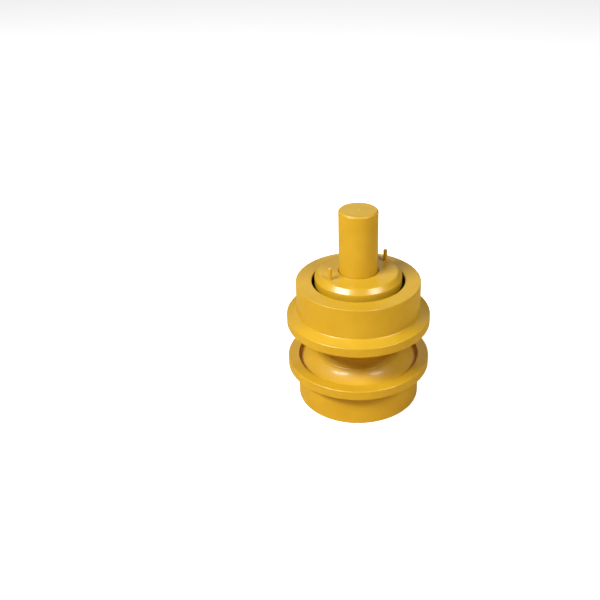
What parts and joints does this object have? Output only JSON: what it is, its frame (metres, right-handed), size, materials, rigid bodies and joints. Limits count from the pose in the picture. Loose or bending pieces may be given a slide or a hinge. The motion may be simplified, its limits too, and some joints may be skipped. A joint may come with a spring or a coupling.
{
  "type": "carrier roller",
  "caption": "Flanged, waisted carrier roller of a large track-type machine, turning on tapered bearings on a cantilever shaft with a pinned seal collar; its far end is closed by a cover.",
  "frame": {"origin": "on the shaft's axis, in the plane of the closed end's rim, on which the roller stands", "axes": "+Z along the shaft, out of the open end; +X and +Y square to it, with the first dowel pin 37 degrees round from +X"},
  "size_m": [0.2812, 0.2812, 0.397],
  "materials": {
    "roller_paint": "gloss",
    "cover_paint": "gloss",
    "shaft_paint": "gloss",
    "pin_paint": "satin",
    "bearing_steel": "polished",
    "cage_steel": "satin",
    "machined_steel": "satin",
    "bolt_steel": "satin",
    "seal_iron": "lapped",
    "seal_rubber": "matte",
    "copper_washer": "soft"
  },
  "bodies": {
    "shaft_group": {"shaft": "shaft_paint", "seal_collar": "roller_paint", "dowel_pins": "pin_paint", "collar_o_ring": "seal_rubber", "fixed_seal_ring": "seal_iron", "fixed_toric_ring": "seal_rubber", "retainer_plate": "machined_steel", "adjusting_shims": "machined_steel", "retainer_washers": "bolt_steel", "retainer_bolts": "bolt_steel", "seal_side_bearing_cone": "bearing_steel", "cover_side_bearing_cone": "bearing_steel"},
    "roller": {"shell_half_cover_side": "roller_paint", "shell_half_seal_side": "roller_paint", "end_cover": "cover_paint", "end_cover_o_ring": "seal_rubber", "snap_ring": "cover_paint", "filler_plug": "cover_paint", "plug_washer": "copper_washer", "turning_seal_ring": "seal_iron", "turning_toric_ring": "seal_rubber", "seal_side_bearing_cup": "bearing_steel", "cover_side_bearing_cup": "bearing_steel"},
    "seal_side_cage": {"seal_side_bearing_cage": "cage_steel", "seal_side_bearing_rollers": "bearing_steel"},
    "cover_side_cage": {"cover_side_bearing_cage": "cage_steel", "cover_side_bearing_rollers": "bearing_steel"}
  },
  "joints": [
    {"name": "roller_spin", "type": "hinge", "parent": "shaft_group", "child": "roller", "pos_m": [0, 0, 0.126], "axis": [0, 0, 1], "continuous": true},
    {"name": "seal_side_cage_spin", "type": "hinge", "parent": "shaft_group", "child": "seal_side_cage", "pos_m": [0, 0, 0.19], "axis": [0, 0, 1], "continuous": true},
    {"name": "cover_side_cage_spin", "type": "hinge", "parent": "shaft_group", "child": "cover_side_cage", "pos_m": [0, 0, 0.075], "axis": [0, 0, 1], "continuous": true}
  ],
  "couplings": [
    {"joint": "seal_side_cage_spin", "follows": "roller_spin", "ratio": 0.5756},
    {"joint": "cover_side_cage_spin", "follows": "roller_spin", "ratio": 0.5756}
  ]
}
